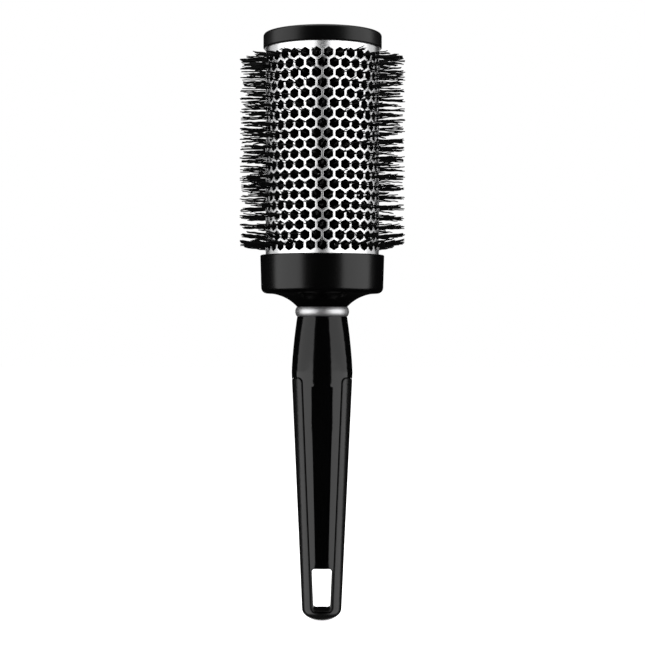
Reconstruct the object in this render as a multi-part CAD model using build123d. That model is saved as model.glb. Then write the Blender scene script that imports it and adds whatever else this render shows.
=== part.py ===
from build123d import *
import os
from math import cos, pi, radians, sin, sqrt, tan

# Round thermal hair brush, millimetres. The axis of the brush is Z, the hanging end of
# the handle is at z = 0 and the flat end cap is at the top. The front faces -Y.

# Handle: a straight oval taper up to the shoulder, then a neck that turns round
handle_length = 134.0
neck_length = 24.5
end_round = 5.4  # height of the rounded hanging end
end_half_width = 8.75
end_half_depth = 6.0
shoulder_half_width = 13.45
shoulder_half_depth = 10.7
neck_radius = 11.0
neck_swell = 0.3  # how far the middle of the neck bulges past a straight line

# Soft overmould: one U-shaped skin round both sides and under the hanging slot
skin = 1.5
skin_gap = 0.3  # groove all round the skin
skin_drop = 1.3  # the skin stops this far below the shoulder
skin_slope = 1.6  # the skin's top edge falls by this much out to the sides
skin_top_half = 8.5
skin_corner = 2.2
slot_rim = 0.7  # hard rim between the slot and the groove
skin_edge = 0.4  # rounding of the skin's edges

# Flat front panel of the grip
panel_sink = 0.5
panel_top_half = 4.2
panel_foot_half = 2.9
panel_below_shoulder = 3.4
panel_above_slot = 2.5

# Hanging slot, right through the handle from front to back
slot_foot = 5.2
slot_height = 18.3
slot_top_half = 4.4
slot_foot_half = 3.65
slot_corner = 1.3
slot_edge = 0.45  # rounding of the slot's rims

# Ring and collar above the handle
spigot_radius = 8.0
spigot_length = 20.0
fit = 0.05  # sliding clearance of each fit, on the radius
ring_height = 4.3
ring_bead = 0.9  # how far the bead stands out past the neck
ring_land = 0.1  # how far the ring's edges stand out past the neck
collar_height = 22.7
collar_wall = 2.3  # from the barrel out to the collar's band
collar_cove = 5.8  # height of the hollow curve under the band
collar_draft = 0.4
collar_round = 2.6
collar_bevel = 0.5
collar_floor = 3.2
collar_hub = 3.0
collar_lining = 2.0  # wall of the cup under the barrel's seat

# Perforated aluminium barrel
barrel_diameter = 50.0
barrel_wall = 0.8
barrel_exposed = 90.7  # from the collar's rim to the end cap
barrel_seat = 6.0
holes_round = 31
rows = 20
hole_web = 1.06
lower_margin = 3.5  # from the collar's rim to the lowest row's centre
upper_margin = 5.0  # from the highest row's centre to the end cap

# End cap
cap_height = 6.8
cap_lip = 1.1  # from the barrel out to the cap's edge
cap_round = 1.3
cap_chamfer = 0.5
cap_plate = 2.2
cap_plug = 2.4
cap_plug_wall = 2.0
cap_hub_wall = 2.5

# Twisted stem: two wires that grip the roots of the bristles
wire_radius = 1.1
wire_lay = 18.0
wire_play = 0.05
stem_sink = 23.0  # depth of the stem's bore, from the spigot's top
stem_end_gap = 1.0
ferrule_wall = 1.2
ferrule_flange = 1.5
ferrule_flange_width = 2.3

# Bristles: one slim tuft through each hole
bristle_reach = 11.5  # how far the tips stand out past the barrel
tuft_root = 0.2  # half the side of the square tuft at the stem
tuft_tip = 0.42
root_gap = 0.15
top_lean = 2.5  # degrees that the top row's tips lean towards the middle
foot_lean = 9.0  # the same for the lowest row
lean_share = 0.42  # each row further in leans by this share of its neighbour's lean

shoulder_z = handle_length - neck_length
slot_top = slot_foot + slot_height
collar_z = handle_length + ring_height
rim_z = collar_z + collar_height
seat_z = rim_z - barrel_seat
barrel_top = rim_z + barrel_exposed
top_z = barrel_top + cap_height
spigot_top = handle_length + spigot_length

barrel_radius = barrel_diameter / 2
bore_radius = barrel_radius - barrel_wall
collar_radius = barrel_radius + collar_wall
cap_radius = barrel_radius + cap_lip
socket_radius = spigot_radius + fit

helix_radius = wire_radius + wire_play
stem_radius = helix_radius + wire_radius
stem_bore = stem_radius + fit
ferrule_radius = stem_bore + ferrule_wall
ferrule_bore = ferrule_radius + fit
stem_foot = spigot_top - stem_sink
stem_top = top_z - cap_plate - stem_end_gap

row_pitch = (barrel_exposed - lower_margin - upper_margin) / (rows - 1)
hole_pitch = 2 * pi * barrel_radius / holes_round
touch = 0.01  # how near an edge's middle is to a surface that it lies on
hole_flats = min(hole_pitch, sqrt((hole_pitch / 2) ** 2 + row_pitch**2)) - hole_web


def turned(outline):
    """A solid of revolution from a face drawn as radius and height."""
    return revolve(Plane.XZ * outline, Axis.Z)


def tube(outer, inner, low, high):
    return turned(make_face(Polyline((inner, low), (outer, low), (outer, high), (inner, high), close=True)))


def through(outline):
    """A front-view outline extruded right through the handle along Y."""
    deep = 2 * max(neck_radius, shoulder_half_depth)
    return extrude(Plane.XZ * outline, deep, both=True)


def oval(half_width, half_depth, inset, z):
    return Pos(0, 0, z) * Ellipse(half_width - inset, half_depth - inset)


def handle_blank(inset):
    """The outer shape of the handle, or a smaller one inside it by the inset."""
    foot = oval(end_half_width, end_half_depth, inset, end_round)
    shoulder = oval(shoulder_half_width, shoulder_half_depth, inset, shoulder_z)
    middle_width = (shoulder_half_width + neck_radius) / 2 + neck_swell
    middle_depth = (shoulder_half_depth + neck_radius) / 2
    middle = oval(middle_width, middle_depth, inset, shoulder_z + neck_length / 2)
    top = oval(neck_radius, neck_radius, inset, handle_length)
    sizes = (end_half_width - inset, end_half_depth - inset, end_round - inset)
    ball = Pos(0, 0, end_round) * scale(Sphere(1), sizes)
    end = split(ball, Plane.XY.offset(end_round), keep=Keep.BOTTOM)
    return loft([foot, shoulder], ruled=True) + loft([shoulder, middle, top]) + end


def skin_region(inset):
    """Where the soft skin lies in front view, open at the sides and below."""
    wide = 2 * shoulder_half_width
    top = shoulder_z - skin_drop - inset
    beside_slot = slot_rim + inset
    right = [
        (wide, top - skin_slope * (wide - skin_top_half) / (shoulder_half_width - skin_top_half)),
        (skin_top_half + inset, top),
        (slot_top_half + beside_slot, slot_top + slot_rim),
        (slot_foot_half + beside_slot, slot_foot - beside_slot),
    ]
    left = [(-x, z) for x, z in reversed(right)]
    below = -end_round
    corners = [(wide, below), *right, *left, (-wide, below)]
    rounds = [0.0, 0.0, skin_corner, 0.0, slot_corner + beside_slot]
    edge = FilletPolyline(*corners, radius=rounds + rounds[::-1], close=True)
    return make_face(edge)


def hanging_slot():
    corners = [
        (slot_foot_half, slot_foot),
        (slot_top_half, slot_top),
        (-slot_top_half, slot_top),
        (-slot_foot_half, slot_foot),
    ]
    return through(make_face(FilletPolyline(*corners, radius=slot_corner, close=True)))


def front_panel():
    """The slice that leaves a flat panel with an arched top on the front of the grip."""
    rise = shoulder_z - end_round
    slope = (shoulder_half_depth - end_half_depth) / rise
    foot = slot_top + slot_rim + panel_above_slot
    head = shoulder_z - panel_below_shoulder
    depth_at_head = end_half_depth + slope * (head - end_round) - panel_sink
    arch = head - panel_top_half
    sides = [(panel_foot_half, foot), (panel_top_half, arch), (-panel_top_half, arch), (-panel_foot_half, foot)]
    outline = make_face(Polyline(*sides, close=True)) + Pos(0, arch) * Circle(panel_top_half)
    face = Plane(origin=(0, -depth_at_head, head), x_dir=(1, 0, 0), z_dir=(0, -1, -slope))
    drawn = Pos(0, -head) * outline
    return extrude(face * drawn, neck_radius)


def rims(piece, cut, blank):
    """The edges of a piece where a cut's walls meet the handle's outer surface."""

    def lies_on(faces, edge):
        return min(face.distance_to(edge @ 0.5) for face in faces) < touch

    outside = blank.faces()
    walls = cut.faces()
    return [edge for edge in piece.edges() if lies_on(outside, edge) and lies_on(walls, edge)]


def handle_core():
    blank = handle_blank(0)
    groove = through(skin_region(0)) & (blank - handle_blank(skin))
    slot = hanging_slot()
    body = blank - groove - slot - front_panel()
    body = fillet(rims(body, slot, blank), slot_edge)
    body += tube(spigot_radius, 0, handle_length, spigot_top)
    flange_seat = tube(ferrule_bore, 0, stem_foot - stem_end_gap, spigot_top)
    return body - flange_seat


def grip_skin():
    blank = handle_blank(0)
    region = through(skin_region(skin_gap))
    soft = region & (blank - handle_blank(skin))
    return fillet(rims(soft, region, blank), skin_edge)


def neck_ring():
    inner = spigot_radius + fit
    low = (neck_radius + ring_land, handle_length)
    crown = (neck_radius + ring_bead, handle_length + ring_height / 2)
    high = (neck_radius + ring_land, collar_z)
    edge = Curve() + ThreePointArc(low, crown, high)
    edge += Polyline(high, (inner, collar_z), (inner, handle_length), low)
    return turned(make_face(edge))


def collar():
    neck = (neck_radius + ring_land, collar_z)
    band_foot = (collar_radius - collar_draft - collar_round, collar_z + collar_cove)
    band_side = (collar_radius - collar_draft, collar_z + collar_cove + collar_round)
    lining = bore_radius - collar_lining
    hub = socket_radius + collar_hub
    floor = collar_z + collar_cove + collar_floor
    inside = [
        band_side,
        (collar_radius, rim_z - collar_bevel),
        (collar_radius - collar_bevel, rim_z),
        (barrel_radius + fit, rim_z),
        (barrel_radius + fit, seat_z),
        (lining, seat_z),
        (lining, floor),
        (hub, floor),
        (hub, spigot_top),
        (socket_radius, spigot_top),
        (socket_radius, collar_z),
        neck,
    ]
    edge = Curve() + TangentArc(band_foot, neck, tangent=(-1, 0))
    edge += TangentArc(band_foot, band_side, tangent=(1, 0))
    edge += Polyline(*inside)
    return turned(make_face(edge))


def row_places(row):
    """Angle about the axis and height of each hole in a row; row 0 is the highest."""
    z = barrel_top - upper_margin - row * row_pitch
    step = 360 / holes_round
    start = 0 if row % 2 else step / 2
    return [(start + step * i, z) for i in range(holes_round)]


def barrel():
    body = tube(barrel_radius, bore_radius, seat_z, barrel_top)
    hexagon = RegularPolygon(hole_flats / 2, 6, major_radius=False, rotation=30)
    punch = Pos(0, 0, bore_radius - barrel_wall) * extrude(hexagon, 3 * barrel_wall)
    upright = Plane(origin=(0, 0, 0), x_dir=(1, 0, 0), z_dir=(0, -1, 0))
    punch = upright * punch
    punches = [Rot(0, 0, turn) * Pos(0, 0, z) * punch for row in range(rows) for turn, z in row_places(row)]
    return body - punches


def end_cap():
    plug = bore_radius - fit
    hollow = plug - cap_plug_wall
    hub = ferrule_bore + cap_hub_wall
    under = top_z - cap_plate
    corners = [
        (0, under),
        (ferrule_bore, under),
        (ferrule_bore, barrel_top),
        (hub, barrel_top),
        (hub, under),
        (hollow, under),
        (hollow, barrel_top - cap_plug),
        (plug, barrel_top - cap_plug),
        (plug, barrel_top),
        (cap_radius - cap_chamfer, barrel_top),
        (cap_radius, barrel_top + cap_chamfer),
        (cap_radius, top_z),
        (0, top_z),
    ]
    rounds = [0.0] * 11 + [cap_round, 0.0]
    return turned(make_face(FilletPolyline(*corners, radius=rounds, close=True)))


def stem_wire(turn):
    """One of the two stem wires, wound as a helix about the axis."""
    path = Helix(wire_lay, stem_top - stem_foot, helix_radius)
    section = Plane(origin=path @ 0, z_dir=path % 0) * Circle(wire_radius)
    wire = sweep(section, path=path, is_frenet=True)
    return Rot(0, 0, turn) * Pos(0, 0, stem_foot) * wire


def stem_ferrule():
    sleeve = tube(ferrule_radius, stem_bore, stem_foot, spigot_top)
    flange = ferrule_radius + ferrule_flange_width
    return sleeve + tube(flange, stem_bore, spigot_top, spigot_top + ferrule_flange)


def cap_bush():
    return tube(ferrule_radius, stem_bore, barrel_top, stem_top)


def tuft(length):
    """A slim square tuft along +Y, wide at the origin's end and narrow at its root."""
    low = tuft_tip - tuft_root
    high = tuft_tip + tuft_root
    centred = (Align.CENTER, Align.MIN, Align.CENTER)
    return Wedge(2 * tuft_tip, length, 2 * tuft_tip, low, low, high, high, align=centred)


def bristle_row(row):
    """The tufts of one row, each from the stem out through its hole."""
    from_end = min(row, rows - 1 - row)
    upper = row < rows / 2
    towards_middle = -1 if upper else 1
    lean = radians((top_lean if upper else foot_lean) * lean_share**from_end)
    root = stem_radius + root_gap
    tip = barrel_radius + bristle_reach
    one = tuft((tip - root) / cos(lean))
    inwards = Plane((0, -tip, 0), x_dir=(1, 0, 0), z_dir=(0, towards_middle * sin(lean), cos(lean)))
    tip_rise = towards_middle * tan(lean) * bristle_reach
    places = [Rot(0, 0, turn) * Pos(0, 0, z + tip_rise) for turn, z in row_places(row)]
    return Compound([place * inwards.location * one for place in places])


pieces = {
    "handle_core": handle_core(),
    "grip_skin": grip_skin(),
    "neck_ring": neck_ring(),
    "collar": collar(),
    "barrel": barrel(),
    "end_cap": end_cap(),
    "stem_wire_a": stem_wire(0),
    "stem_wire_b": stem_wire(180),
    "stem_ferrule": stem_ferrule(),
    "cap_bush": cap_bush(),
}
for row in range(rows):
    pieces[f"bristle_row_{row + 1:02d}"] = bristle_row(row)

os.makedirs("parts", exist_ok=True)
for name, piece in pieces.items():
    export_step(piece, f"parts/{name}.step")
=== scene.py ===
import math
import random

import bpy
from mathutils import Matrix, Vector


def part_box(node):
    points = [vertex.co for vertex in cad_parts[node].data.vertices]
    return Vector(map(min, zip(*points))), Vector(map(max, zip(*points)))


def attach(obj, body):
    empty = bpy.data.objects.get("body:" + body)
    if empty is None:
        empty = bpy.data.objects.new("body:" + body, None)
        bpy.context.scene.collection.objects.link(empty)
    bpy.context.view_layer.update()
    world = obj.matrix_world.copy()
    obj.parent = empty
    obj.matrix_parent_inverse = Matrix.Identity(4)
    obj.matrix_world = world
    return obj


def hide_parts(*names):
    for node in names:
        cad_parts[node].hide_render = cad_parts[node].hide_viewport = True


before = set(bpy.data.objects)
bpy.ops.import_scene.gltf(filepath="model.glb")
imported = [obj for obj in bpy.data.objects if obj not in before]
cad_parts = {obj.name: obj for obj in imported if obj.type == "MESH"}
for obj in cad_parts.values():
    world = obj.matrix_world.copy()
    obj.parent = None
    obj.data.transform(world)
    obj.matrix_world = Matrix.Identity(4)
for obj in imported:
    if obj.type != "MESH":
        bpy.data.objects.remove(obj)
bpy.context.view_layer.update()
mm = 0.001
print("frame loaded")


# small helpers for working as in the viewport
def deselectAll():
    if bpy.context.object and bpy.context.object.mode != "OBJECT":
        bpy.ops.object.mode_set(mode="OBJECT")
    bpy.ops.object.select_all(action="DESELECT")


def makeActive(piece):
    deselectAll()
    piece.select_set(True)
    bpy.context.view_layer.objects.active = piece


def openMesh(piece, mode):
    makeActive(piece)
    bpy.ops.object.mode_set(mode="EDIT")
    bpy.ops.mesh.select_mode(type=mode)
    bpy.ops.mesh.select_all(action="DESELECT")


def closeMesh():
    bpy.ops.object.mode_set(mode="OBJECT")


def middleHeight(piece, edge):
    return sum(piece.data.vertices[i].co.z for i in edge.vertices) / 2


def pickFaces(piece, test):
    # the piece is in edit mode before and after
    bpy.ops.object.mode_set(mode="OBJECT")
    for face in piece.data.polygons:
        face.select = test(face)
    bpy.ops.object.mode_set(mode="EDIT")


def useModifier(piece, kind, **settings):
    makeActive(piece)
    added = piece.modifiers.new(kind.title(), kind)
    for key, value in settings.items():
        setattr(added, key, value)
    bpy.ops.object.modifier_apply(modifier=added.name)


def arc(centre, radius, start, end, steps):
    # points of an arc, as radius and height, with angles in degrees
    points = []
    for i in range(steps + 1):
        angle = math.radians(start + (end - start) * i / steps)
        points.append((centre[0] + radius * math.cos(angle), centre[1] + radius * math.sin(angle)))
    return points


def turnPiece(name, outline, around):
    # a ring is extruded and scaled from point to point of the outline, as on a lathe
    radius, height = outline[0]
    deselectAll()
    bpy.ops.mesh.primitive_circle_add(vertices=around, radius=radius * mm, location=(0, 0, height * mm))
    piece = bpy.context.object
    piece.name = name
    bpy.ops.object.transform_apply(location=True, rotation=True, scale=True)
    bpy.ops.object.mode_set(mode="EDIT")
    bpy.ops.mesh.select_all(action="SELECT")
    for nextRadius, nextHeight in outline[1:]:
        rise = (0, 0, (nextHeight - height) * mm)
        bpy.ops.mesh.extrude_region_move(TRANSFORM_OT_translate={"value": rise})
        share = nextRadius / radius
        bpy.ops.transform.resize(value=(share, share, 1), center_override=(0, 0, nextHeight * mm))
        radius, height = max(nextRadius, 1e-6), nextHeight
    bpy.ops.mesh.select_all(action="SELECT")
    bpy.ops.mesh.remove_doubles(threshold=1e-6)
    bpy.ops.mesh.normals_make_consistent(inside=False)
    closeMesh()
    return piece


def softenEdges(piece, width, limit=40):
    useModifier(piece, "BEVEL", width=width * mm, segments=2, limit_method="ANGLE",
                angle_limit=math.radians(limit))


def shadeSmooth(piece, angle=35):
    makeActive(piece)
    bpy.ops.object.shade_smooth_by_angle(angle=math.radians(angle))


def finishPiece(piece, nodes, material):
    piece.data.materials.clear()
    piece.data.materials.append(material)
    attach(piece, "root")
    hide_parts(*nodes)
    deselectAll()


# a socket that Python's own operators work on
class Value:
    def __init__(self, finish, socket):
        self.finish = finish
        self.socket = socket

    def maths(self, operation, first, second):
        return self.finish.node("ShaderNodeMath", {"operation": operation}, {0: first, 1: second})

    def __add__(self, other):
        return self.maths("ADD", self, other)

    __radd__ = __add__

    def __mul__(self, other):
        return self.maths("MULTIPLY", self, other)

    __rmul__ = __mul__


class Finish:
    def __init__(self, name):
        self.material = bpy.data.materials.new(name)
        self.material.use_nodes = True
        self.tree = self.material.node_tree
        self.tree.nodes.clear()
        self.place = self.node("ShaderNodeTexCoord", {}, {}, "Object")

    def node(self, kind, settings, sockets, output=0):
        made = self.tree.nodes.new(kind)
        for key, value in settings.items():
            setattr(made, key, value)
        for key, value in sockets.items():
            if isinstance(value, Value):
                self.tree.links.new(value.socket, made.inputs[key])
            else:
                made.inputs[key].default_value = value
        return Value(self, made.outputs[output]) if len(made.outputs) else None

    def stretched(self, scale):
        return self.node("ShaderNodeMapping", {}, {"Vector": self.place, "Scale": scale})

    def noise(self, vector, scale, detail=3, roughness=0.5):
        sockets = {"Vector": vector, "Scale": scale, "Detail": detail, "Roughness": roughness}
        return self.node("ShaderNodeTexNoise", {}, sockets, "Fac")

    def between(self, factor, low, high):
        # a colour between two others
        settings = {"data_type": "RGBA"}
        return self.node("ShaderNodeMix", settings, {0: factor, 6: (*low, 1), 7: (*high, 1)}, 2)

    def spread(self, factor, low, high):
        # a number between two others, as the factor goes from 0.3 to 0.7
        sockets = {"Value": factor, "From Min": 0.3, "From Max": 0.7, "To Min": low, "To Max": high}
        return self.node("ShaderNodeMapRange", {}, sockets)

    def bump(self, height, strength, distance):
        sockets = {"Height": height, "Strength": strength, "Distance": distance * mm}
        return self.node("ShaderNodeBump", {}, sockets)

    def shader(self, **sockets):
        named = {key.replace("_", " "): value for key, value in sockets.items()}
        made = self.node("ShaderNodeBsdfPrincipled", {}, named)
        self.node("ShaderNodeOutputMaterial", {}, {"Surface": made})
        return self.material


# finishes
def glossyPlastic(name, look):
    finish = Finish(name)
    smears = finish.noise(finish.stretched((1, 1, look["smear stretch"])), look["smear size"], 4, 0.6)
    grain = finish.noise(finish.place, look["grain size"], 2, 0.5)
    return finish.shader(
        Base_Color=finish.between(smears, look["dark"], look["light"]),
        Roughness=finish.spread(smears, *look["roughness"]),
        IOR=1.5,
        Normal=finish.bump(grain, look["grain"], look["grain depth"]),
    )


def softRubber(name, look):
    finish = Finish(name)
    patches = finish.noise(finish.place, look["patch size"], 3, 0.6)
    sockets = {"Vector": finish.place, "Scale": look["grain size"]}
    cells = finish.node("ShaderNodeTexVoronoi", {}, sockets, "Distance")
    return finish.shader(
        Base_Color=finish.between(patches, look["dark"], look["light"]),
        Roughness=finish.spread(patches, *look["roughness"]),
        IOR=1.5,
        Normal=finish.bump(cells, look["grain"], look["grain depth"]),
    )


def turnedMetal(name, look):
    # fine lines run round the axis, as a lathe or a polishing belt leaves them
    finish = Finish(name)
    lines = finish.noise(finish.stretched((1, 1, look["stretch"])), look["line size"], 3, 0.6)
    clouds = finish.noise(finish.place, look["cloud size"], 3, 0.55)
    wear = lines * look["line share"] + clouds * (1 - look["line share"])
    return finish.shader(
        Base_Color=finish.between(clouds, look["dark"], look["light"]),
        Metallic=1.0,
        Roughness=finish.spread(wear, *look["roughness"]),
        Normal=finish.bump(lines, look["lines"], look["line depth"]),
    )


def nylon(name, look):
    finish = Finish(name)
    strands = finish.noise(finish.stretched((1, 1, look["stretch"])), look["strand size"], 2, 0.5)
    return finish.shader(
        Base_Color=finish.between(strands, look["dark"], look["light"]),
        Roughness=finish.spread(strands, *look["roughness"]),
        Specular_IOR_Level=look["specular"],
        Normal=finish.bump(strands, look["grain"], look["grain depth"]),
    )


collarFinish = glossyPlastic("collarBlack", {
    "dark": (0.0002, 0.0002, 0.0002), "light": (0.0006, 0.0006, 0.0007), "roughness": (0.22, 0.28),
    "smear size": 60, "smear stretch": 0.35, "grain size": 2200, "grain": 0.04, "grain depth": 0.02})
handleFinish = glossyPlastic("handleBlack", {
    "dark": (0.0002, 0.0002, 0.0002), "light": (0.0008, 0.0008, 0.0009), "roughness": (0.09, 0.14),
    "smear size": 70, "smear stretch": 0.35, "grain size": 2400, "grain": 0.03, "grain depth": 0.02})
capFinish = glossyPlastic("capBlack", {
    "dark": (0.0005, 0.0005, 0.0005), "light": (0.0012, 0.0012, 0.0013), "roughness": (0.3, 0.38),
    "smear size": 80, "smear stretch": 0.35, "grain size": 1800, "grain": 0.1, "grain depth": 0.02})
gripFinish = softRubber("gripBlack", {
    "dark": (0.0012, 0.0012, 0.0013), "light": (0.003, 0.003, 0.0031), "roughness": (0.2, 0.28),
    "patch size": 50, "grain size": 3200, "grain": 0.12, "grain depth": 0.03})
ringFinish = turnedMetal("ringSatin", {
    "dark": (0.78, 0.78, 0.79), "light": (0.88, 0.88, 0.89), "roughness": (0.4, 0.5),
    "stretch": 60, "line size": 40, "cloud size": 300, "line share": 0.6, "lines": 0.2, "line depth": 0.01})
barrelFinish = turnedMetal("barrelAluminium", {
    "dark": (0.86, 0.865, 0.875), "light": (0.94, 0.94, 0.945), "roughness": (0.25, 0.29),
    "stretch": 40, "line size": 60, "cloud size": 90, "line share": 0.6, "lines": 0.04, "line depth": 0.01})
steelFinish = turnedMetal("stemSteel", {
    "dark": (0.35, 0.35, 0.36), "light": (0.55, 0.55, 0.56), "roughness": (0.3, 0.45),
    "stretch": 8, "line size": 200, "cloud size": 400, "line share": 0.6, "lines": 0.2, "line depth": 0.01})
bushFinish = softRubber("bushPlastic", {
    "dark": (0.01, 0.01, 0.011), "light": (0.02, 0.02, 0.021), "roughness": (0.45, 0.6),
    "patch size": 200, "grain size": 2500, "grain": 0.15, "grain depth": 0.03})
bristleFinish = nylon("bristleNylon", {
    "dark": (0.0008, 0.0008, 0.0008), "light": (0.003, 0.003, 0.0031), "roughness": (0.55, 0.75),
    "strand size": 900, "stretch": 2.5, "specular": 0.1, "grain": 0.15, "grain depth": 0.03})
print("finishes made")


# collar: a deep cup with a hollow curve running down to the neck
collarLook = {
    "around": 160, "bore": 8.05, "neck": 11.1, "cove": 5.8, "foot round": 2.6, "draft": 0.4, "bevel": 0.5,
    "seat": 6.0, "barrel": 25.05, "lining": 22.2, "floor": 9.0, "hub": 11.05, "hub top": 15.7, "edge": 0.15,
    "cove steps": 16, "foot start": -80, "foot steps": 6, "bevel start": 30, "bevel steps": 2}


def makeCollar(look):
    low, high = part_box("collar")
    foot, rim, band = low.z / mm, high.z / mm, high.x / mm
    edge = band - look["draft"] - look["foot round"]
    reach = edge - look["neck"]
    bend = (reach**2 + look["cove"] ** 2) / (2 * look["cove"])
    turn = math.degrees(math.asin(reach / bend))
    shoulder = foot + look["cove"]
    outline = [(look["bore"], foot)]
    outline += arc((edge, shoulder - bend), bend, 90 + turn, 90, look["cove steps"])
    rounded, bevel = look["foot round"], look["bevel"]
    outline += arc((edge, shoulder + rounded), rounded, look["foot start"], 0, look["foot steps"])
    outline += [(band, rim - bevel)]
    outline += arc((band - bevel, rim - bevel), bevel, look["bevel start"], 90, look["bevel steps"])
    outline += [
        (look["barrel"], rim), (look["barrel"], rim - look["seat"]), (look["lining"], rim - look["seat"]),
        (look["lining"], foot + look["floor"]), (look["hub"], foot + look["floor"]),
        (look["hub"], foot + look["hub top"]), (look["bore"], foot + look["hub top"]), (look["bore"], foot)]
    piece = turnPiece("collarCup", outline, look["around"])
    softenEdges(piece, look["edge"])
    shadeSmooth(piece)
    finishPiece(piece, ["collar"], collarFinish)


makeCollar(collarLook)


# end cap: a flat disc with a rounded rim, a plug inside the barrel and a hub for the stem
capLook = {
    "around": 160, "bore": 3.55, "hub": 6.05, "plate": 2.2, "plug inside": 22.15, "plug": 24.15,
    "plug depth": 2.4, "chamfer": 0.5, "round": 1.3, "exposed": 6.8, "top rings": (20, 14, 8, 3, 0.4),
    "round steps": 8, "edge": 0.12}


def makeEndCap(look):
    low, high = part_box("end_cap")
    top, rim = high.z / mm, high.x / mm
    foot = top - look["exposed"]
    under = top - look["plate"]
    innermost = look["top rings"][-1]
    outline = [
        (innermost, under), (look["bore"], under), (look["bore"], foot), (look["hub"], foot),
        (look["hub"], under), (look["plug inside"], under), (look["plug inside"], foot - look["plug depth"]),
        (look["plug"], foot - look["plug depth"]), (look["plug"], foot), (rim - look["chamfer"], foot),
        (rim, foot + look["chamfer"])]
    outline += arc((rim - look["round"], top - look["round"]), look["round"], 0, 90, look["round steps"])
    outline += [(radius, top) for radius in look["top rings"]]
    piece = turnPiece("endCapDisc", outline, look["around"])
    openMesh(piece, "EDGE")
    bpy.ops.mesh.select_non_manifold()
    bpy.ops.mesh.edge_face_add()
    bpy.ops.mesh.select_all(action="SELECT")
    bpy.ops.mesh.normals_make_consistent(inside=False)
    closeMesh()
    softenEdges(piece, look["edge"])
    shadeSmooth(piece)
    finishPiece(piece, ["end_cap"], capFinish)


makeEndCap(capLook)


# neck ring: a satin bead between the handle and the collar
ringLook = {"around": 128, "bore": 8.05, "land": 11.1, "bead steps": 14, "edge": 0.2}


def makeNeckRing(look):
    low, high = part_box("neck_ring")
    foot, top, crown = low.z / mm, high.z / mm, high.x / mm
    half = (top - foot) / 2
    rise = crown - look["land"]
    bend = (half**2 + rise**2) / (2 * rise)
    turn = math.degrees(math.asin(half / bend))
    outline = [(look["bore"], foot)]
    outline += arc((crown - bend, foot + half), bend, -turn, turn, look["bead steps"])
    outline += [(look["bore"], top), (look["bore"], foot)]
    piece = turnPiece("neckRingBead", outline, look["around"])
    softenEdges(piece, look["edge"])
    shadeSmooth(piece)
    finishPiece(piece, ["neck_ring"], ringFinish)


makeNeckRing(ringLook)
print("turned pieces made")


# handle core and its soft skin, from merged copies of the frame's nodes
handleCrease = 30  # degrees; sharper edges stay sharp


def mergedCopy(name, node):
    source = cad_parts[node]
    copy = source.copy()
    copy.data = source.data.copy()
    copy.parent = None
    copy.name = name
    for key in list(copy.keys()):
        del copy[key]
    bpy.context.scene.collection.objects.link(copy)
    openMesh(copy, "VERT")
    bpy.ops.mesh.select_all(action="SELECT")
    bpy.ops.mesh.remove_doubles(threshold=1e-6)
    bpy.ops.mesh.customdata_custom_splitnormals_clear()
    closeMesh()
    return copy


def makeHandle():
    core = mergedCopy("handleBody", "handle_core")
    shadeSmooth(core, handleCrease)
    finishPiece(core, ["handle_core"], handleFinish)
    skin = mergedCopy("gripSoftSkin", "grip_skin")
    shadeSmooth(skin, handleCrease)
    finishPiece(skin, ["grip_skin"], gripFinish)


makeHandle()
print("handle made")


# barrel: rolled aluminium sheet with staggered rows of six-sided holes
barrelLook = {
    "wall": 0.8, "round": 31, "rows": 20, "web": 1.06, "lower margin": 3.5, "upper margin": 5.0, "edge": 0.12,
    "edge angle": 75, "crease": 50}
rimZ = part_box("collar")[1].z
barrelFoot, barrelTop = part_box("barrel")[0].z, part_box("barrel")[1].z
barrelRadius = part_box("barrel")[1].x
blankHeight = (barrelLook["lower margin"] + barrelLook["upper margin"]) * mm
rowPitch = (barrelTop - rimZ - blankHeight) / (barrelLook["rows"] - 1)
holePitch = 2 * math.pi * barrelRadius / barrelLook["round"]
topRowZ = barrelTop - barrelLook["upper margin"] * mm
bottomRowZ = rimZ + barrelLook["lower margin"] * mm


def repeat(piece, count, step):
    useModifier(piece, "ARRAY", count=count, use_relative_offset=False, use_constant_offset=True,
                constant_offset_displace=step, use_merge_vertices=True, merge_threshold=1e-5)


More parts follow.
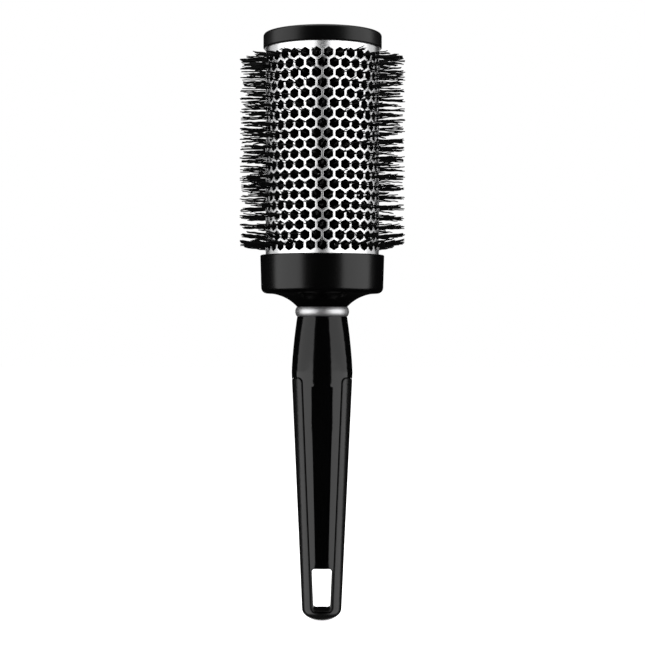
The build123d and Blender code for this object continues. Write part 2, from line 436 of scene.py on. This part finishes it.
def makeBarrel(look):
    # one six-sided cell of the flat sheet, with the hole's face still in it
    deselectAll()
    cellRadius = holePitch / math.sqrt(3)
    bpy.ops.mesh.primitive_circle_add(vertices=6, radius=cellRadius, fill_type="NGON")
    piece = bpy.context.object
    piece.name = "barrelShell"
    bpy.ops.object.mode_set(mode="EDIT")
    bpy.ops.mesh.select_all(action="SELECT")
    bpy.ops.transform.resize(value=(1, rowPitch / (1.5 * cellRadius), 1), center_override=(0, 0, 0))
    bpy.ops.mesh.inset(thickness=look["web"] / 2 * mm, depth=0)
    closeMesh()
    # two rows make the stagger, then the cells fill the sheet
    repeat(piece, 2, (holePitch / 2, rowPitch, 0))
    repeat(piece, look["rows"] // 2, (0, 2 * rowPitch, 0))
    repeat(piece, look["round"], (holePitch, 0, 0))
    # roll the sheet up, lowest row first, with a hole of the lowest row at the front
    for vertex in piece.data.vertices:
        turn = vertex.co.x / barrelRadius
        height = vertex.co.y
        vertex.co = (barrelRadius * math.sin(turn), -barrelRadius * math.cos(turn), bottomRowZ + height)
    openMesh(piece, "EDGE")
    bpy.ops.mesh.select_all(action="SELECT")
    bpy.ops.mesh.remove_doubles(threshold=1e-5)
    middle = (barrelFoot + barrelTop) / 2
    for side, level in ((-1, barrelFoot), (1, barrelTop)):
        # the open rim at this end of the sheet
        bpy.ops.mesh.select_all(action="DESELECT")
        bpy.ops.mesh.select_non_manifold()
        closeMesh()
        rim = [e.index for e in piece.data.edges if e.select and (middleHeight(piece, e) - middle) * side > 0]
        bpy.ops.object.mode_set(mode="EDIT")
        bpy.ops.mesh.select_all(action="DESELECT")
        closeMesh()
        for index in rim:
            piece.data.edges[index].select = True
        bpy.ops.object.mode_set(mode="EDIT")
        if side < 0:
            bpy.ops.mesh.extrude_region_move(TRANSFORM_OT_translate={"value": (0, 0, 0)})
            bpy.ops.transform.resize(value=(1, 1, 0), center_override=(0, 0, rimZ))
        bpy.ops.mesh.extrude_region_move(TRANSFORM_OT_translate={"value": (0, 0, 0)})
        bpy.ops.transform.resize(value=(1, 1, 0), center_override=(0, 0, level))
    # open the holes, give the sheet its thickness inwards and break its edges
    pickFaces(piece, lambda face: len(face.vertices) == 6)
    bpy.ops.mesh.select_mode(type="FACE")
    bpy.ops.mesh.delete(type="FACE")
    bpy.ops.mesh.select_all(action="SELECT")
    bpy.ops.mesh.normals_make_consistent(inside=False)
    closeMesh()
    useModifier(piece, "SOLIDIFY", thickness=look["wall"] * mm, offset=-1, use_even_offset=True)
    softenEdges(piece, look["edge"], look["edge angle"])
    shadeSmooth(piece, look["crease"])
    useModifier(piece, "WEIGHTED_NORMAL", keep_sharp=True, weight=80)
    finishPiece(piece, ["barrel"], barrelFinish)


makeBarrel(barrelLook)
print("barrel made")


# bristles: crimped nylon, gripped by the twisted stem and pushed out through the holes
bristleLook = {
    "radius": 0.25, "root": 2.35, "reach": 36.5, "tuft in hole": 0.7, "in tuft": 0.55, "turn spread": 9,
    "height spread": 1.1, "tip spread": 0.5, "short": 0.6, "crimp": 0.12, "waves": (2.2, 2.4),
    "wave start": 1.7, "steps": 6, "gather": 3, "tip width": 0.75, "top lean": 2.5, "foot lean": 9,
    "lean share": 0.42, "counts": (2, 2, 3), "second row": (2, 3, 3), "end row": (4, 5, 6), "seed": 7,
    "hidden": 150, "inside gap": (1.3, 4), "inside bend": 0.1, "inside end bend": 0.15, "inside sag": 1,
    "inside end sag": 1.5, "crease": 60}


def holesOfRow(row):
    step = 2 * math.pi / barrelLook["round"]
    start = 0 if row % 2 else step / 2
    return [start + step * i for i in range(barrelLook["round"])], topRowZ - row * rowPitch


def around(turn, radius, height, sideways=0):
    # a place beside the axis; turn 0 is the front
    x = radius * math.sin(turn) + sideways * math.cos(turn)
    y = -radius * math.cos(turn) + sideways * math.sin(turn)
    return (x, y, height)


def bristleThrough(turn, height, tuft, lean, look, rng):
    # one bristle: gripped at the stem, through its hole, then crimped out to its tip
    wall = barrelRadius
    rootRadius = look["root"] * mm
    aside = tuft[0] + rng.uniform(-1, 1) * look["in tuft"] * mm
    up = tuft[1] + rng.uniform(-1, 1) * look["in tuft"] * mm
    rootTurn = turn + math.radians(rng.gauss(0, look["turn spread"]))
    rootHeight = height + math.tan(lean) * (wall - rootRadius) + rng.gauss(0, look["height spread"]) * mm
    tip = (look["reach"] - abs(rng.gauss(0, look["short"]))) * mm
    tipAside = aside + rng.gauss(0, look["tip spread"]) * mm
    tipUp = height + up - math.tan(lean) * (tip - wall) + rng.gauss(0, look["tip spread"]) * mm
    gather = look["gather"] * mm
    points = [around(rootTurn, rootRadius, rootHeight)]
    points.append(around(turn, wall - gather, height + up + math.tan(lean) * gather, aside))
    phase = rng.uniform(0, 2 * math.pi)
    sideWave, upWave = look["waves"]
    for i in range(look["steps"] + 1):
        share = i / look["steps"]
        wave = look["crimp"] * mm * math.sin(phase + i * sideWave)
        lift = look["crimp"] * mm * math.cos(phase * look["wave start"] + i * upWave)
        side = aside + (tipAside - aside) * share + wave
        level = height + up + (tipUp - height - up) * share + lift
        points.append(around(turn, wall + (tip - wall) * share, level, side))
    return points


def bristleInside(height, look, rng):
    # one that meets the barrel's wall and stays inside
    turn = rng.uniform(0, 2 * math.pi)
    level = height + rng.uniform(-0.5, 0.5) * rowPitch
    reach = barrelRadius - rng.uniform(*look["inside gap"]) * mm
    bend, sag = look["inside bend"], look["inside sag"]
    middle = around(turn + rng.gauss(0, bend), reach / 2, level + rng.gauss(0, sag) * mm)
    bend, sag = look["inside end bend"], look["inside end sag"]
    end = around(turn + rng.gauss(0, bend), reach, level + rng.gauss(0, sag) * mm)
    return [around(turn, look["root"] * mm, level), middle, end]


def makeBristleRow(row, look):
    rng = random.Random(look["seed"] * 100 + row)
    rows = barrelLook["rows"]
    fromEnd = min(row, rows - 1 - row)
    endLean = look["top lean"] if row < rows / 2 else -look["foot lean"]
    lean = math.radians(endLean) * look["lean share"] ** fromEnd
    turns, height = holesOfRow(row)
    paths = []
    counts = {0: look["end row"], 1: look["second row"]}.get(fromEnd, look["counts"])
    room = look["tuft in hole"] * mm
    for turn in turns:
        tuft = (rng.uniform(-room, room), rng.uniform(-room, room))
        for i in range(rng.choice(counts)):
            paths.append(bristleThrough(turn, height, tuft, lean, look, rng))
    for i in range(look["hidden"]):
        paths.append(bristleInside(height, look, rng))
    deselectAll()
    bpy.ops.curve.primitive_nurbs_path_add()
    strands = bpy.context.object
    strands.name = f"bristles{row + 1:02d}"
    curve = strands.data
    curve.splines.clear()
    curve.dimensions = "3D"
    curve.resolution_u = 1
    curve.bevel_mode = "ROUND"
    curve.bevel_depth = look["radius"] * mm
    curve.bevel_resolution = 0
    curve.use_fill_caps = True
    for path in paths:
        strand = curve.splines.new("POLY")
        strand.points.add(len(path) - 1)
        for point, place in zip(strand.points, path):
            point.co = (*place, 1)
        strand.points[-1].radius = look["tip width"]
    bpy.ops.object.convert(target="MESH")
    strands = bpy.context.object
    shadeSmooth(strands, look["crease"])
    finishPiece(strands, [f"bristle_row_{row + 1:02d}"], bristleFinish)


for row in range(barrelLook["rows"]):
    makeBristleRow(row, bristleLook)
print("bristles made")


# hidden pieces keep the frame's shapes and get their finish
for node, material in (("stem_wire_a", steelFinish), ("stem_wire_b", steelFinish),
                       ("stem_ferrule", steelFinish), ("cap_bush", bushFinish)):
    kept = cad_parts[node]
    kept.data.materials.clear()
    kept.data.materials.append(material)


# studio: a pale floor, a soft light overhead, and tall soft boxes in pairs, left and right.
# Each finish has boxes of its own, so that its highlights can be set without moving the others'.
studioLook = {
    "floor size": 8, "floor white": 0.9, "floor cloud": 0.02, "cloud size": 3, "floor glow": 0.9,
    "camera distance": 0.725, "camera height": 0.13135, "camera side": 0.00015, "lens": 91.76, "roll": -0.09,
    "sensor": 36, "nearest": 0.01, "sky": 1.0, "fill": 0.35, "dark": 0.006, "overhead height": 1.6,
    "overhead size": 1.4, "overhead power": 10}
gripPieces = ["handleBody", "gripSoftSkin"]
# each soft box: turn from the front, half its angle, distance, lowest and highest point, radiance,
# and the pieces that it lights or leaves out
softBoxes = {
    "softBox": (64, 35, 0.9, -0.3, 1.3, 1.5, "EXCLUDE", ["collarCup", "endCapDisc"] + gripPieces),
    "neckBox": (63, 33, 0.9, 0.08, 1.3, 1.2, "INCLUDE", gripPieces),
    "gripBox": (64, 35, 0.9, -1.1, 0.08, 1.62, "INCLUDE", gripPieces),
    "collarBox": (67.5, 30.5, 0.9, -0.3, 1.3, 1.5, "INCLUDE", ["collarCup"]),
    "capBox": (79, 31, 0.9, -0.3, 1.3, 1.3, "INCLUDE", ["endCapDisc"]),
    "barrelStrip": (21.5, 10, 1.2, -0.3, 1.3, 1.35, "INCLUDE", ["barrelShell"]),
    "rimStrip": (115, 17, 0.9, -0.3, 1.3, 0.6, "INCLUDE", ["barrelShell"]),
}
# one of each behind the brush: the strip for the bright metal, the low box for the handle
backBoxes = {
    "backStrip": (180, 14, 1.0, -0.3, 1.3, 1.5, "INCLUDE", ["barrelShell", "neckRingBead", "endCapDisc"]),
    "backLow": (180, 22, 1.0, -1.1, -0.1, 1.2, "INCLUDE", gripPieces),
}


def makeFloor(look):
    deselectAll()
    bpy.ops.mesh.primitive_plane_add(size=look["floor size"], location=(0, 0, 0))
    floor = bpy.context.object
    floor.name = "studioFloor"
    floor.visible_glossy = False
    floor.visible_shadow = False
    paint = Finish("floorPale")
    clouds = paint.noise(paint.place, look["cloud size"])
    low, high = look["floor white"], look["floor white"] + look["floor cloud"]
    paint.shader(
        Base_Color=paint.between(clouds, (low, low, low), (high, high, high)),
        Roughness=0.9, Emission_Color=(1, 1, 1, 1), Emission_Strength=look["floor glow"])
    floor.data.materials.append(paint.material)


def makeSoftBox(name, side, box):
    turn, half, distance, low, high, radiance, state, pieces = box
    middle = (low + high) / 2
    bpy.ops.object.light_add(type="AREA", location=around(math.radians(turn) * side, distance, middle))
    light = bpy.context.object
    light.name = name
    light.visible_camera = False
    light.data.shape = "RECTANGLE"
    light.data.size = 2 * distance * math.tan(math.radians(half))
    light.data.size_y = high - low
    light.data.energy = radiance * math.pi * light.data.size * light.data.size_y
    aim = Vector((0, 0, middle)) - light.location
    light.rotation_euler = aim.to_track_quat("-Z", "Y").to_euler()
    receivers = bpy.data.collections.new(name + "Lights")
    for piece in pieces:
        receivers.objects.link(bpy.data.objects[piece])
    light.light_linking.receiver_collection = receivers
    for member in receivers.collection_objects:
        member.light_linking.link_state = state


def makeWorld(look):
    # white to the camera, a soft fill on dull surfaces, and dark in glossy ones, as black flags would make it
    world = bpy.data.worlds.new("studioWorld")
    bpy.context.scene.world = world
    world.use_nodes = True
    tree = world.node_tree
    tree.nodes.clear()

    def background(strength):
        made = tree.nodes.new("ShaderNodeBackground")
        made.inputs["Color"].default_value = (1, 1, 1, 1)
        made.inputs["Strength"].default_value = strength
        return made.outputs[0]

    def chosen(ray, otherwise, seen):
        mixed = tree.nodes.new("ShaderNodeMixShader")
        tree.links.new(rays.outputs[ray], mixed.inputs[0])
        tree.links.new(otherwise, mixed.inputs[1])
        tree.links.new(seen, mixed.inputs[2])
        return mixed.outputs[0]

    rays = tree.nodes.new("ShaderNodeLightPath")
    unseen = chosen("Is Glossy Ray", background(look["fill"]), background(look["dark"]))
    out = tree.nodes.new("ShaderNodeOutputWorld")
    tree.links.new(chosen("Is Camera Ray", unseen, background(look["sky"])), out.inputs["Surface"])


def makeCamera(look):
    bpy.ops.object.camera_add(
        location=(look["camera side"], -look["camera distance"], look["camera height"]),
        rotation=(math.pi / 2, math.radians(look["roll"]), 0))
    camera = bpy.context.object
    camera.data.lens = look["lens"]
    camera.data.sensor_width = look["sensor"]
    camera.data.clip_start = look["nearest"]
    bpy.context.scene.camera = camera


def makeStudio(look):
    makeFloor(look)
    for name, box in softBoxes.items():
        makeSoftBox(name + "Left", -1, box)
        makeSoftBox(name + "Right", 1, box)
    for name, box in backBoxes.items():
        makeSoftBox(name, 1, box)
    bpy.ops.object.light_add(type="AREA", location=(0, 0, look["overhead height"]))
    overhead = bpy.context.object
    overhead.name = "overheadSoft"
    overhead.data.size = look["overhead size"]
    overhead.data.energy = look["overhead power"]
    # the bright ring keeps out of the dark hollow of the collar
    bpy.data.objects["neckRingBead"].visible_glossy = False
    makeWorld(look)
    makeCamera(look)
    bpy.context.scene.view_settings.view_transform = "Standard"


makeStudio(studioLook)
print("studio made")
